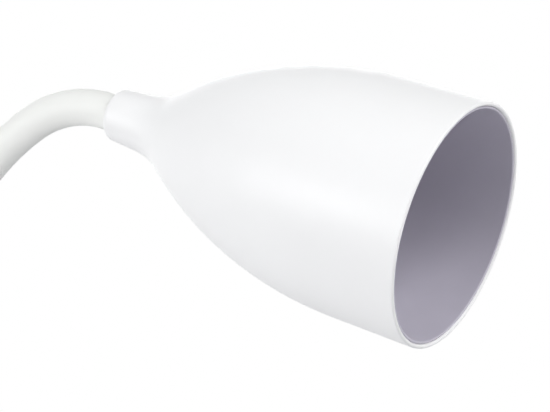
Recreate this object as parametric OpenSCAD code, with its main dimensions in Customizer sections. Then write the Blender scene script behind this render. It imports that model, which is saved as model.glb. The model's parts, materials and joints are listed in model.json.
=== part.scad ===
// Clip-on reading lamp: a bullet-shaped shade on a sleeved gooseneck, which stands on a sprung clip.
// Sizes are millimetres. The origin is the middle of the upper pad's gripping face, +Z is up,
// and +X is the way that the jaws and the shade point.

/* [Shade] */
// Outside diameter of the shade at its mouth
mouth_d = 70; // [66:1:76]
// Wall of the shade
shade_wall = 1.25; // [1:0.05:1.6]
// Length of the nearly straight part behind the mouth
straight_len = 26; // [24:1:32]
// Radius that the straight part loses to the draft of the mould
draft = 0.4; // [0.2:0.1:0.8]
// Radius of the long curve that gives the bullet its shape
ogive_r = 118; // [112:1:130]
// Diameter of the collar where it leaves the curve
collar_root_d = 18; // [17.5:0.1:19]
// Diameter of the collar at its open end
collar_end_d = 15.6; // [15:0.1:17]
// Length of the collar
collar_len = 16.6; // [15:0.1:20]
// Fillet between the curve and the collar
collar_fillet = 5; // [3:0.5:7]
// Rounding of the collar's open end
collar_round = 1.2; // [0.6:0.1:1.6]
// How far the shade points below level, in degrees
head_tilt = 16.6; // [5:0.1:40]

/* [Light] */
// Depth of the reflector's lip behind the mouth
lip_depth = 50; // [46:1:53]
// Width of the reflector's lip, which lies on the diffuser
lip_w = 3; // [2:0.5:5]
// Radius of the bend from the reflector's side to its lip
lip_bend = 2; // [1:0.5:2]
// Thickness of the reflector
reflector_wall = 0.8; // [0.6:0.1:1.2]
// Thickness of the diffuser
diffuser_t = 2; // [1.5:0.1:3]
// Height of the diffuser's dome
diffuser_rise = 3; // [2:0.5:5]
// Depth of the mixing space between diffuser and heat sink
mixing_len = 8.6; // [7:0.1:10]
// Wall of the ring that keeps the diffuser off the heat sink
spacer_wall = 1.8; // [1.4:0.1:2.4]
// Thickness of the heat sink's plate
plate_t = 4; // [3:0.5:5]
// Width of the ledge that carries the heat sink
ledge_w = 1.5; // [1:0.1:2]
// Length of the heat sink's fins
fin_len = 13; // [8:1:15]
// Number of fins
fin_count = 12; // [8:1:16]
// Thickness of a fin
fin_t = 1.4; // [1:0.1:2]
// Radius of the heat sink's hub
hub_r = 5.8; // [5:0.1:7]
// Diameter of the light board
board_d = 30; // [26:1:34]
// Thickness of the light board
board_t = 1.6; // [1:0.1:2]
// Diameter of the emitter
emitter_d = 16; // [10:1:17]
// Height of the emitter
emitter_h = 1; // [0.8:0.1:1.6]
// Distance of the board's screws from its middle
board_screw_at = 11.4; // [11:0.1:12]

/* [Gooseneck] */
// Outside diameter of the sleeve
sleeve_d = 11; // [10:0.1:11.2]
// Wall of the sleeve
sleeve_wall = 0.8; // [0.6:0.1:1]
// Length of the gooseneck from its first joint to its last
neck_len = 252; // [216:9:306]
// Outside diameter of the steel spine
spine_d = 8.4; // [8:0.1:8.8]
// Bore of the steel spine
spine_bore = 4.4; // [4:0.1:5]
// Diameter of the cable in the spine
cable_d = 2.8; // [2.2:0.1:3.2]
// Length of sleeve that shows before the first and after the last bending point
stub_len = 3; // [2:0.5:6]

/* [End fittings] */
// Outside diameter of the threaded end
thread_d = 9.8; // [9.4:0.1:10]
// Length of the ferrule that holds the spine
ferrule_len = 6.5; // [5:0.5:8]
// Width of the nut across its flats
nut_af = 13; // [12.5:0.1:13.4]
// Height of the nut
nut_h = 3; // [2.5:0.5:4]
// Thickness of the washer
washer_t = 1; // [0.8:0.1:1.4]
// Thickness of the wall that the shade's fitting passes through
bulkhead_t = 3.5; // [2.5:0.5:4]
// How far the thread stands past its nut
thread_tail = 1.5; // [1:0.1:2]

/* [Clip] */
// Length of the rubber pads
pad_len = 36; // [30:1:40]
// Width of the rubber pads
pad_w = 21; // [18:1:22]
// Thickness of the rubber pads
pad_t = 3; // [2.5:0.1:4]
// Gap between the pads with the clip closed
closed_gap = 6; // [5:0.5:8]
// Length of the clip from the hinge to its tail
handle_len = 50; // [44:1:60]
// Thickness of the lower arm at the hinge
lower_h = 14; // [13:0.5:18]
// Thickness of the lower arm at its tip
lower_tip_h = 9; // [8.5:0.5:11]
// Thickness of the lower handle at the tail
lower_tail_h = 11; // [10:0.5:14]
// How much narrower the lower arm is on each side
lower_inset = 1.5; // [1:0.1:2]
// Width of the upper arm
clip_w = 34; // [34:1:40]
// Width of the jaws at the tip
tip_w = 26; // [26:1:30]
// Width of the handles at the tail
tail_w = 25; // [22:1:28]
// Height of the upper arm above the pad's face
body_h = 22; // [21:0.5:26]
// Height of the jaw's tip above the pad's face
tip_h = 13; // [12:0.5:15]
// Rise of the handle from the hinge to the tail
tail_lift = 14; // [10:0.5:16]
// Thickness of the handle at the tail
tail_h = 13; // [12.5:0.5:16]
// Rounding of the moulded edges
edge_r = 4; // [3.5:0.1:5]
// Rounding of the edges that face the other arm
inner_edge_r = 1.2; // [0.8:0.1:1.4]
// Wall of the clip's mouldings
clip_wall = 2.2; // [1.8:0.1:2.6]
// Height of the upper arm's bottom shell
bottom_h = 6; // [5:0.5:7]
// Height of the shadow line between the upper arm's shells
seam_h = 0.8; // [0.5:0.1:1]
// Depth of the shadow line between the upper arm's shells
seam_depth = 0.8; // [0.5:0.1:1]
// Thickness of the ribs across the lower handle
rib_t = 1.6; // [1.2:0.1:2]
// Distance between the ribs across the lower handle
rib_step = 12; // [10:0.5:14]
// Height of the gooseneck's socket above the arm
tower_h = 14; // [12:1:18]
// Diameter of the gooseneck's socket at the top
tower_d = 16.4; // [15.6:0.1:18]
// Distance from the hinge to the gooseneck's socket
tower_ahead = 6; // [5:0.5:8]
// Bore of the cord inlet
inlet_d = 3.8; // [3:0.1:4]

/* [Hinge] */
// Distance from the pads' rear ends to the hinge
hinge_behind = 12; // [12:0.5:16]
// Distance from the hinge to the fold of the handles
fold_ahead = 2; // [1:0.5:3]
// Diameter of the hinge pin
pin_d = 4; // [3:0.1:4.4]
// Thickness of a hinge lug
lug_t = 3.3; // [3:0.1:3.6]
// Diameter of the spring's wire
wire_d = 1.6; // [1.2:0.1:1.6]
// Middle radius of the spring's coil
coil_r = 4.2; // [4:0.1:4.3]
// Gap between the spring's turns
coil_gap = 0.55; // [0.5:0.05:0.8]
// Full turns of the spring
coil_turns = 4; // [3:1:5]
// Length of the spring's legs
leg_len = 24; // [18:1:28]

/* [Switch] */
// Diameter of the push button
button_d = 12; // [10:0.5:12.5]
// How far the button stands proud of the arm
button_proud = 1.8; // [1.5:0.1:2.5]
// Travel of the button
button_travel = 1.5; // [1:0.1:1.8]
// Side of the switch's square body
switch_w = 11; // [9:0.5:12]
// Height of the switch's body
switch_h = 7.5; // [6:0.5:8]
// Diameter of the switch's plunger
plunger_d = 3.2; // [2.6:0.1:4]
// Thickness of the flange that keeps the button in
flange_t = 1.4; // [1:0.1:1.6]

/* [Clearances] */
// Gap between pieces that slide into each other by hand
fit = 0.15; // [0.1:0.05:0.25]
// Radial gap between the hinge pin and what turns on it
running_fit = 0.06; // [0.04:0.01:0.09]
// Gap between the ball and the cup of two spine links
ball_gap = 0.2; // [0.15:0.05:0.3]
// Gap between neighbouring sleeve links at the edge of the bend
sleeve_gap = 0.12; // [0.12:0.02:0.3]
// Gap between pieces that move past each other
moving_gap = 0.4; // [0.3:0.05:0.5]
// Gap between the sleeve and the sockets that it enters
socket_gap = 0.25; // [0.2:0.05:0.3]
// Gap between a thread and its nut
thread_gap = 0.05; // [0.03:0.01:0.1]
// Radial gap of the hinge pin in the lugs that hold it
pin_grip = 0.02; // [0.01:0.01:0.03]
// Gap between a piece that rests loosely and its seat
rest_gap = 0.3; // [0.2:0.05:0.4]

/* [Hidden] */
$fn = 64;

// Turn of each gooseneck link at rest, in degrees from the clip upwards. The last one tips the shade.
rest_turns = [0, 0, 0, 5, 8, 11, 15.6, 20];
link_count = len(rest_turns) + 1;
link_len = neck_len / link_count;

function total(list, n) = n == 0 ? 0 : list[n - 1] + total(list, n - 1);
function link_turn(k) =
    k < link_count ? rest_turns[k - 1] : 90 + head_tilt - total(rest_turns, link_count - 1);
function heading(k) = k == 1 ? 0 : heading(k - 1) + link_turn(k - 1);
function bend_r(k) = link_len * 180 / (PI * link_turn(k));

// A point along a link, with the whole link as 1, in the plane of the gooseneck
function along_link(k, share) =
    let (h0 = heading(k), h1 = h0 + link_turn(k) * share)
    link_turn(k) == 0
        ? link_len * share * [sin(h0), 0, cos(h0)]
        : bend_r(k) * [cos(h0) - cos(h1), 0, sin(h1) - sin(h0)];
function joint_at(k) = k == 1 ? foot_joint : joint_at(k - 1) + along_link(k - 1, 1);

function arc(centre, r, from, to, steps) =
    [for (i = [0:steps]) let (a = from + (to - from) * i / steps) centre + r * [cos(a), sin(a)]];
function reversed(list) = [for (i = [len(list) - 1:-1:0]) list[i]];
function unit(v) = v / norm(v);

sleeve_r = sleeve_d / 2;
sleeve_bore_r = sleeve_r - sleeve_wall;
spine_r = spine_d / 2;
ball_r = sleeve_bore_r - fit;
thread_r = thread_d / 2;
ferrule_r = sleeve_r - fit;
socket_r = sleeve_r + socket_gap;
nut_r = nut_af / 2 / cos(30);
washer_r = nut_r + fit;

// The shade's outline, as radius and distance behind the mouth
mouth_r = mouth_d / 2;
draft_angle = atan(draft / straight_len);
ogive_start_r = mouth_r - draft;
ogive_centre = [ogive_start_r - ogive_r * cos(draft_angle), straight_len - ogive_r * sin(draft_angle)];
function curve_depth(r, radius) =
    ogive_centre.y + sqrt(radius * radius - (r - ogive_centre.x) * (r - ogive_centre.x));
function curve_radius(depth, radius) =
    ogive_centre.x + sqrt(radius * radius - (depth - ogive_centre.y) * (depth - ogive_centre.y));
collar_start = curve_depth(collar_root_d / 2, ogive_r);
head_len = collar_start + collar_len;
collar_dir = unit([collar_end_d / 2 - collar_root_d / 2, collar_len]);
collar_normal = [collar_dir.y, -collar_dir.x];
collar_angle = atan2(collar_normal.y, collar_normal.x);

// The fillet's circle touches the long curve and the collar's side.
fillet_from = [collar_root_d / 2, collar_start] + collar_fillet * collar_normal - ogive_centre;
fillet_slide = -fillet_from * collar_dir
    + sqrt(pow(fillet_from * collar_dir, 2) - fillet_from * fillet_from + pow(ogive_r + collar_fillet, 2));
fillet_centre = ogive_centre + fillet_from + fillet_slide * collar_dir;
fillet_angle = atan2(fillet_centre.y - ogive_centre.y, fillet_centre.x - ogive_centre.x);

inner_curve_r = ogive_r - shade_wall;
cavity_end_r = washer_r + moving_gap;
bulkhead_front = curve_depth(cavity_end_r, inner_curve_r);
bulkhead_back = bulkhead_front + bulkhead_t;
diffuser_front = lip_depth + reflector_wall + fit;
diffuser_back = diffuser_front + diffuser_t;
plate_front = diffuser_back + mixing_len;
ledge_at = plate_front + plate_t;
ledge_r = curve_radius(ledge_at, inner_curve_r) - ledge_w;
plate_r = curve_radius(ledge_at, inner_curve_r) - 2 * fit;

// Inner radius of the shade's wall in front of the ledge
function wall_r(depth) =
    depth > straight_len ? curve_radius(depth, inner_curve_r)
    : mouth_r - shade_wall - draft * depth / straight_len;
lip_r = wall_r(lip_depth) - fit - reflector_wall - lip_w;

// The clip's levels and stations
hinge = [-pad_len / 2 - hinge_behind, 0, -closed_gap / 2];
fold_x = hinge.x + fold_ahead;
tail_x = hinge.x - handle_len;
tip_x = pad_len / 2 + edge_r;
slope = tail_lift / (fold_x - tail_x - edge_r);
slope_angle = atan(slope);
lower_face = -closed_gap - pad_t;
parting_z = pad_t + bottom_h;
tower_x = hinge.x + tower_ahead;
tower_top = body_h + tower_h;
ceiling = body_h - clip_wall;
socket_floor_t = 3.7;
socket_floor = ceiling + socket_floor_t;
foot_joint = [tower_x, 0, tower_top + stub_len];
tower_to_button = 6.8;
button_x = tower_x + tower_d / 2 + tower_to_button + button_d / 2;
function underside(x) = pad_t + max(0, fold_x - x) * slope;
function parting(x) = parting_z + max(0, fold_x - x) * slope;

// The moulded arms: half width, top and bottom along X, easing towards the tip and the tail
mid_y = clip_w / 2;
lower_y = mid_y - lower_inset;
button_border = 1;
shoulder_x = button_x + button_d / 2 + button_border;
least_edge_r = 0.4;
function eased(share) = let (s = max(0, min(1, share))) s * s * (3 - 2 * s);
function to_tip(x) = eased((x - shoulder_x) / (tip_x - shoulder_x));
function to_tail(x) = eased((fold_x - x) / (fold_x - tail_x));
function blended(x, middle, tip, tail) = middle + (tip - middle) * to_tip(x) + (tail - middle) * to_tail(x);
function lower_top(x) = lower_face - max(0, fold_x - x) * slope;
function upper_top(x) = blended(x, body_h, tip_h, pad_t + tail_lift + tail_h);
function lower_bottom(x) = lower_face - blended(x, lower_h, lower_tip_h, tail_lift + lower_tail_h);
function upper_half_w(x) = blended(x, mid_y, tip_w / 2, tail_w / 2);
function lower_half_w(x) = blended(x, lower_y, tip_w / 2, tail_w / 2);
grip_count = 5;
grip_step = 4;
grip_xs = [for (i = [0:grip_count - 1]) tail_x + edge_r + grip_step * (i + 0.5)];
grip_r = 1;
grip_sunk = 0.4;

// Stations along an arm, as x and how far the rounded ends draw the section in there
round_step = 18;
handle_steps = 8;
jaw_steps = 5;
function arm_stations(r, from, to) = concat(
    [for (a = [90 - round_step:-round_step:round_step]) [from + r - r * sin(a), r - r * cos(a)]],
    [for (i = [0:handle_steps - 1]) [from + r + (fold_x - from - r) * i / handle_steps, 0]],
    [[fold_x, 0], [shoulder_x, 0]],
    [for (i = [1:jaw_steps]) [shoulder_x + (to - r - shoulder_x) * i / jaw_steps, 0]],
    [for (a = [round_step:round_step:90 - round_step]) [to - r + r * sin(a), r - r * cos(a)]]
);

// A rounded section across an arm, seen along X, with its own rounding at the bottom and the top
function arm_section(x, half_w, bottom, top, low_r, high_r) = [
    for (c = [[1, -1, -90], [1, 1, 0], [-1, 1, 90], [-1, -1, 180]], turn = [0:round_step:90])
        let (r = c[1] < 0 ? low_r : high_r, a = c[2] + turn)
        [x, c[0] * (half_w - r) + r * cos(a), (c[1] < 0 ? bottom + r : top - r) + r * sin(a)]
];

// Hinge lugs: the upper arm's pair lies outside the lower arm's pair.
lug_clear = 0.5;
lug_r = pad_t - hinge.z - lug_clear;
lug_inset = 1;
upper_lug_y = mid_y - lug_inset;
lower_lug_y = upper_lug_y - lug_t - moving_gap;
retainer_t = 0.8;

// Screws that close the upper arm, as x, y and the height of the head's seat
screw_r = 1.45;
screw_head_r = 2.7;
screw_head_h = 2;
screw_reach = 6;
screw_slack = 0.25;
boss_r = 3.4;
front_screw_x = shoulder_x + 5;
front_screw_y = 6;
rear_screw_x = hinge.x - 22;
front_sunk = 0.4;
rear_sunk = 1.2;
screws = [
    [front_screw_x, front_screw_y, pad_t + front_sunk + screw_head_h],
    [front_screw_x, -front_screw_y, pad_t + front_sunk + screw_head_h],
    [rear_screw_x, 0, underside(rear_screw_x) + rear_sunk + screw_head_h]
];

// Pegs that hold the pads
peg_r = 2;
peg_x = pad_len / 4;

// Cord inlet at the tail
inlet_r = inlet_d / 2;
gland_r = inlet_r + 1.1;
gland_flange_r = tail_h / 2 - clip_wall - rest_gap;
gland_inner_r = gland_flange_r - fit;
gland_z = pad_t + tail_lift + tail_h / 2;

// The spring's path: lower leg, coil, upper leg
coil_pitch = wire_d + coil_gap;
leg_room = (pad_t - hinge.z) * cos(slope_angle) + fold_ahead * sin(slope_angle) - wire_d / 2 - rest_gap;
leg_rise = slope_angle + asin((leg_room - coil_r) / leg_len);
coil_from = leg_rise - 90;
coil_to = coil_turns * 360 + 90 - leg_rise;
coil_y = coil_pitch * (coil_to - coil_from) / 360 / 2;
turn_rings = 12;
coil_rings = coil_turns * turn_rings + 4;
function coil_spoke(a) = [cos(a), 0, sin(a)];
coil_angles = [for (i = [0:coil_rings]) coil_from + (coil_to - coil_from) * i / coil_rings];
coil_path = [
    for (i = [0:coil_rings])
        hinge + coil_r * coil_spoke(coil_angles[i]) + [0, coil_y * (2 * i / coil_rings - 1), 0]
];
lower_leg_end = coil_path[0] - leg_len * [cos(leg_rise), 0, sin(leg_rise)];
upper_leg_end = coil_path[coil_rings] + leg_len * [-cos(leg_rise), 0, sin(leg_rise)];
spring_path = concat([lower_leg_end], coil_path, [upper_leg_end]);
spring_spokes = concat(
    [coil_spoke(coil_from)], [for (a = coil_angles) coil_spoke(a)], [coil_spoke(coil_to)]
);
spring_gap = min([
    for (i = [0:coil_rings], j = [i + turn_rings / 2:1:coil_rings]) norm(coil_path[i] - coil_path[j])
]) - wire_d;
echo(least_gap_of_the_spring_to_itself = spring_gap);

// The cable's path: from the switch, up through the foot, along the gooseneck and into the heat sink
cable_bend = 5;
cable_lift = 1;
cable_z = pad_t + clip_wall + cable_lift + cable_d / 2;
cable_gap = 0.5;
head_axis = [cos(head_tilt), 0, -sin(head_tilt)];
head_joint = joint_at(link_count + 1);
mouth_at = head_joint + (head_len + stub_len) * head_axis;
cable_path = concat(
    [[button_x - switch_w / 2 - cable_gap, 0, cable_z]],
    [for (a = [0:round_step:90])
        [tower_x + cable_bend * (1 - sin(a)), 0, cable_z + cable_bend * (1 - cos(a))]],
    [[tower_x, 0, socket_floor]],
    [for (k = [1:link_count], i = [0:3]) joint_at(k) + along_link(k, i / 4)],
    [head_joint, mouth_at - (plate_front + rest_gap) * head_axis]
);

// The switch and its button
plunger_r = plunger_d / 2;
switch_base = pad_t + clip_wall;
switch_floor = 1.5;
flange_z = ceiling - flange_t - fit;

// Screws that hold the light board
board_screw_r = 1.2;
board_head_r = 2.2;
board_head_h = 1.5;
board_screw_bite = 2.5;

// How far a cutting body runs past the face that it cuts
past = 1;

// The upper arm's parting line, as x and z
parting_line = [for (x = [tail_x - past, fold_x, tip_x + past]) [x, parting(x)]];

// Placing

module at_head() {
    translate(mouth_at) rotate([0, head_tilt - 90, 0]) children();
}

module at_link(k) {
    translate(joint_at(k)) rotate([0, heading(k), 0]) children();
}

module at_hinge(y) {
    translate([hinge.x, y, hinge.z]) rotate([-90, 0, 0]) children();
}

module at_screws() {
    for (s = screws) translate(s) children();
}

// Shared shapes

module ring(r_out, r_in) {
    difference() {
        circle(r_out);
        circle(r_in);
    }
}

module straight_tube(r_out, r_in, from, to) {
    translate([0, 0, from]) linear_extrude(to - from) ring(r_out, r_in);
}

module bent_tube(k, r_out, r_in) {
    if (link_turn(k) == 0) {
        straight_tube(r_out, r_in, 0, link_len);
    } else {
        translate([bend_r(k), 0, 0])
            rotate([90, 0, 180])
            rotate_extrude(angle = link_turn(k))
            translate([bend_r(k), 0])
            ring(r_out, r_in);
    }
}

module drilled_ball() {
    difference() {
        sphere(ball_r);
        cylinder(h = 2 * ball_r + 2 * past, r = spine_bore / 2 + fit, center = true);
    }
}

module at_link_end(k) {
    translate(joint_at(k + 1)) rotate([0, heading(k + 1), 0]) children();
}

module skin(rings) {
    last = len(rings) - 1;
    sides = len(rings[0]);
    function corner(i, j) = i * sides + j % sides;
    walls = [
        for (i = [0:last - 1], j = [0:sides - 1], half = [0, 1])
            half == 0
                ? [corner(i, j), corner(i + 1, j), corner(i + 1, j + 1)]
                : [corner(i, j), corner(i + 1, j + 1), corner(i, j + 1)]
    ];
    near_end = [for (j = [1:sides - 2]) [corner(0, 0), corner(0, j), corner(0, j + 1)]];
    far_end = [for (j = [1:sides - 2]) [corner(last, 0), corner(last, j + 1), corner(last, j)]];
    polyhedron([for (ring = rings) each ring], concat(walls, near_end, far_end));
}

module swept_tube(path, spokes, r, sides) {
    last = len(path) - 1;
    function ahead(i) = unit(path[min(last, i + 1)] - path[max(0, i - 1)]);
    skin([
        for (i = [0:last])
            let (t = ahead(i), v = unit(cross(t, spokes[i])), u = cross(v, t))
            [for (j = [0:sides - 1]) let (a = 360 * j / sides) path[i] + r * (cos(a) * u + sin(a) * v)]
    ]);
}

module ferrule(wall) {
    tail = wall + washer_t + nut_h + thread_tail;
    difference() {
        union() {
            translate([0, 0, -tail]) cylinder(h = tail, r = thread_r);
            cylinder(h = ferrule_len, r = ferrule_r);
        }
        translate([0, 0, -tail - past]) cylinder(h = tail + ferrule_len, r = spine_bore / 2 + fit);
        translate([0, 0, fit]) cylinder(h = ferrule_len, r = spine_r + fit);
    }
}

module washer(wall) {
    straight_tube(washer_r, thread_r + fit, -wall - washer_t, -wall);
}

module lock_nut(wall) {
    translate([0, 0, -wall - washer_t - nut_h]) difference() {
        cylinder(h = nut_h, r = nut_r, $fn = 6);
        translate([0, 0, -past]) cylinder(h = nut_h + 2 * past, r = thread_r + thread_gap);
    }
}

module sleeve_end(from, to) {
    straight_tube(sleeve_r, sleeve_bore_r, from, to);
}

module spine_end(from, to) {
    straight_tube(spine_r, spine_bore / 2, from, to);
}

module rounded_plate(length, width, r, height) {
    linear_extrude(height) {
        square([length - 2 * r, width], center = true);
        square([length, width - 2 * r], center = true);
        for (x = [-1, 1], y = [-1, 1]) translate([x * (length / 2 - r), y * (width / 2 - r)]) circle(r);
    }
}

// Head

module shade_outline() {
    inner_end = curve_depth(ledge_r, inner_curve_r);
    polygon(concat(
        arc([mouth_r - shade_wall / 2, shade_wall / 2], shade_wall / 2, 180, 360, 8),
        arc(ogive_centre, ogive_r, draft_angle, fillet_angle, 30),
        arc(fillet_centre, collar_fillet, fillet_angle + 180, collar_angle + 180, 6),
        arc([collar_end_d / 2 - collar_round, head_len - collar_round], collar_round, 0, 90, 6),
        [[socket_r, head_len], [socket_r, bulkhead_back]],
        [[thread_r + fit, bulkhead_back], [thread_r + fit, bulkhead_front]],
        [for (i = [0:12]) let (d = bulkhead_front + (inner_end - bulkhead_front) * i / 12)
            [curve_radius(d, inner_curve_r), d]],
        [[ledge_r, ledge_at]],
        [for (i = [0:16]) let (d = ledge_at + (straight_len - ledge_at) * i / 16)
            [curve_radius(d, inner_curve_r), d]]
    ));
}

module shade() {
    color("white") at_head() rotate_extrude() shade_outline();
}

module reflector_outline() {
    edge = shade_wall;
    side_end = lip_depth - lip_bend;
    depths = [for (i = [0:10]) edge + (side_end - edge) * i / 10];
    bend_centre = [wall_r(side_end) - fit - reflector_wall - lip_bend, side_end];
    polygon(concat(
        [for (d = depths) [wall_r(d) - fit - reflector_wall, d]],
        arc(bend_centre, lip_bend, 18, 90, 4),
        [[lip_r, lip_depth], [lip_r, lip_depth + reflector_wall]],
        arc(bend_centre, lip_bend + reflector_wall, 90, 18, 4),
        reversed([for (d = depths) [wall_r(d) - fit, d]])
    ));
}

module reflector() {
    color("silver") at_head() rotate_extrude() reflector_outline();
}

module diffuser() {
    rim = wall_r(diffuser_back) - 2 * fit;
    dome_r = lip_r - 2 * fit;
    dome_bow = (dome_r * dome_r + diffuser_rise * diffuser_rise) / (2 * diffuser_rise);
    dome_top = diffuser_front - diffuser_rise;
    dome_angle = asin(dome_r / dome_bow);
    color("ivory") at_head() rotate_extrude() polygon(concat(
        [[0, diffuser_back], [0, dome_top]],
        [for (i = [1:10]) let (a = dome_angle * i / 10)
            [dome_bow * sin(a), dome_top + dome_bow * (1 - cos(a))]],
        [[rim, diffuser_front], [rim, diffuser_back]]
    ));
}

module spacer_ring() {
    color("white") at_head() straight_tube(plate_r, plate_r - spacer_wall, diffuser_back, plate_front);
}

module heat_sink() {
    fin_room = 2;
    fin_r = curve_radius(ledge_at + fin_len, inner_curve_r) - fin_room;
    root = 0.5;
    cable_room = 0.8;
    color("gainsboro") at_head() difference() {
        union() {
            translate([0, 0, plate_front]) cylinder(h = plate_t, r = plate_r);
            translate([0, 0, ledge_at]) cylinder(h = fin_len, r = hub_r);
            for (i = [0:fin_count - 1])
                rotate(360 * i / fin_count)
                translate([hub_r - root, -fin_t / 2, ledge_at - root])
                cube([fin_r - hub_r + root, fin_t, fin_len + root]);
        }
        translate([0, 0, plate_front - past])
            cylinder(h = plate_t + fin_len + 2 * past, r = cable_d / 2 + cable_room);
        for (side = [-1, 1])
            translate([0, side * board_screw_at, plate_front - past])
            cylinder(h = board_screw_bite + fit + past, r = board_screw_r + thread_gap);
    }
}

module led_board() {
    color("whitesmoke") at_head() translate([0, 0, plate_front - board_t]) difference() {
        cylinder(h = board_t, r = board_d / 2);
        for (side = [-1, 1])
            translate([0, side * board_screw_at, -past])
            cylinder(h = board_t + 2 * past, r = board_screw_r + fit);
    }
}

module led_emitter() {
    dam_w = 1;
    sunk = 0.3;
    r = emitter_d / 2;
    color("gold") at_head() translate([0, 0, plate_front - board_t - emitter_h]) rotate_extrude() polygon([
        [0, sunk], [r - dam_w, sunk], [r - dam_w, 0], [r, 0], [r, emitter_h], [0, emitter_h]
    ]);
}

module board_screws() {
    color("silver") at_head() for (side = [-1, 1])
        translate([0, side * board_screw_at, plate_front - board_t - board_head_h]) {
            cylinder(h = board_head_h, r = board_head_r);
            cylinder(h = board_head_h + board_t + board_screw_bite, r = board_screw_r);
        }
}

module at_head_fitting() {
    at_head() translate([0, 0, bulkhead_back]) children();
}

module head_ferrule() {
    color("goldenrod") at_head_fitting() ferrule(bulkhead_t);
}

module head_washer() {
    color("silver") at_head_fitting() washer(bulkhead_t);
}

module head_nut() {
    color("goldenrod") at_head_fitting() lock_nut(bulkhead_t);
}

module sleeve_head() {
    color("snow") difference() {
        at_head() sleeve_end(bulkhead_back + ferrule_len + fit, head_len + stub_len);
        translate(head_joint) sphere(sleeve_r + sleeve_gap);
    }
}

module spine_head() {
    color("gray") difference() {
        at_head() spine_end(bulkhead_back + 2 * fit, head_len + stub_len);
        translate(head_joint) sphere(ball_r + ball_gap);
    }
}

// Gooseneck

module sleeve_link(k) {
    color("snow") difference() {
        at_link(k) bent_tube(k, sleeve_r, sleeve_bore_r);
        translate(joint_at(k)) sphere(sleeve_r + sleeve_gap);
    }
}

module spine_link(k) {
    color("gray") difference() {
        union() {
            at_link(k) bent_tube(k, spine_r, spine_bore / 2);
            at_link_end(k) drilled_ball();
        }
        translate(joint_at(k)) sphere(ball_r + ball_gap);
    }
}

module neck_cable() {
    color("dimgray") swept_tube(cable_path, [for (p = cable_path) [0, 1, 0]], cable_d / 2, 8);
}

module at_foot() {
    translate([tower_x, 0, socket_floor]) children();
}

module sleeve_foot() {
    color("snow") at_foot() sleeve_end(ferrule_len + fit, foot_joint.z - socket_floor);
}

module spine_foot() {
    color("gray") {
        at_foot() spine_end(2 * fit, foot_joint.z - socket_floor);
        translate(foot_joint) drilled_ball();
    }
}

module foot_ferrule() {
    color("goldenrod") at_foot() ferrule(socket_floor - ceiling);
}

module foot_washer() {
    color("silver") at_foot() washer(socket_floor - ceiling);
}

module foot_nut() {
    color("goldenrod") at_foot() lock_nut(socket_floor - ceiling);
}

// Clip

module upper_form(inset) {
    r = edge_r - inset;
    low_r = inset > 0 ? least_edge_r : inner_edge_r;
    skin([
        for (s = arm_stations(r, tail_x + inset, tip_x - inset))
            let (in = inset + s[1])
            arm_section(s.x, upper_half_w(s.x) - in, underside(s.x) + in, upper_top(s.x) - in,
                max(least_edge_r, low_r - s[1]), r - s[1])
    ]);
}

module lower_form() {
    skin([
        for (s = arm_stations(edge_r, tail_x, tip_x))
            arm_section(s.x, lower_half_w(s.x) - s[1], lower_bottom(s.x) + s[1], lower_top(s.x) - s[1],
                edge_r - s[1], max(least_edge_r, inner_edge_r - s[1]))
    ]);
}

// The hollow of the lower handle, which is open towards the upper one
module lower_core() {
    r = edge_r - clip_wall;
    solid_behind_fold = 12;
    from = tail_x + 1.5 * clip_wall;
    to = fold_x - solid_behind_fold;
    skin([
        for (i = [0:handle_steps])
            let (x = from + (to - from) * i / handle_steps)
            arm_section(x, lower_half_w(x) - clip_wall,
                lower_bottom(x) + clip_wall, lower_top(x) + edge_r, r, r)
    ]);
}

module grip_bars(levels) {
    for (p = levels)
        translate([p.x, 0, p.y]) rotate([90, 0, 0])
        cylinder(h = tail_w - 2 * edge_r - past, r = grip_r, center = true);
}

module across_clip(outline) {
    rotate([90, 0, 0]) linear_extrude(clip_w + 2 * past, center = true) polygon(outline);
}

module below_parting() {
    across_clip(concat(parting_line, [[tip_x + past, -clip_w], [tail_x - past, -clip_w]]));
}

// The shadow line that runs round the upper arm, under the parting line
module seam() {
    difference() {
        across_clip(concat(
            [for (p = parting_line) p + [0, past]],
            reversed([for (p = parting_line) p - [0, seam_h]])
        ));
        upper_form(seam_depth);
    }
}

module hollow_arm() {
    difference() {
        upper_form(0);
        difference() {
            upper_form(clip_wall);
            at_screws() translate([0, 0, -body_h]) cylinder(h = 3 * body_h, r = boss_r);
        }
    }
}

module tower() {
    foot_r = tower_d / 2 + 1;
    blend = 4;
    step = 0.2;
    round_r = 1.2;
    translate([tower_x, 0, body_h]) rotate_extrude() polygon(concat(
        [[0, -clip_wall / 2], [foot_r + blend, -clip_wall / 2]],
        arc([foot_r + blend, blend + step], blend, 270, 180, 8),
        arc([tower_d / 2 - round_r, tower_h - round_r], round_r, 0, 90, 6),
        [[0, tower_h]]
    ));
}

module gland_hole() {
    translate([tail_x - past, 0, gland_z]) rotate([0, 90, 0])
        cylinder(h = clip_wall + 3 * past, r = gland_r + fit);
}

module top_shell() {
    color("white") difference() {
        union() {
            difference() {
                hollow_arm();
                below_parting();
            }
            tower();
            grip_bars([for (x = grip_xs) [x, upper_top(x) - grip_sunk]]);
        }
        translate([tower_x, 0, socket_floor]) cylinder(h = tower_h, r = socket_r);
        translate([tower_x, 0, ceiling - past]) cylinder(h = tower_h, r = thread_r + fit);
        translate([button_x, 0, ceiling - past])
            cylinder(h = clip_wall + 2 * past, r = button_d / 2 + moving_gap / 2);
        for (s = screws)
            translate([s.x, s.y, parting(s.x) - past])
            cylinder(h = screw_reach + past, r = screw_r + thread_gap);
        gland_hole();
    }
}

module hinge_lugs(outer_y, root_z) {
    low = min(hinge.z, root_z);
    root_r = lug_r - 0.3;
    for (y = [-outer_y, outer_y - lug_t]) {
        at_hinge(y) cylinder(h = lug_t, r = lug_r);
        translate([hinge.x - root_r, y, low]) cube([2 * root_r, lug_t, abs(root_z - hinge.z)]);
    }
}

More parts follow.
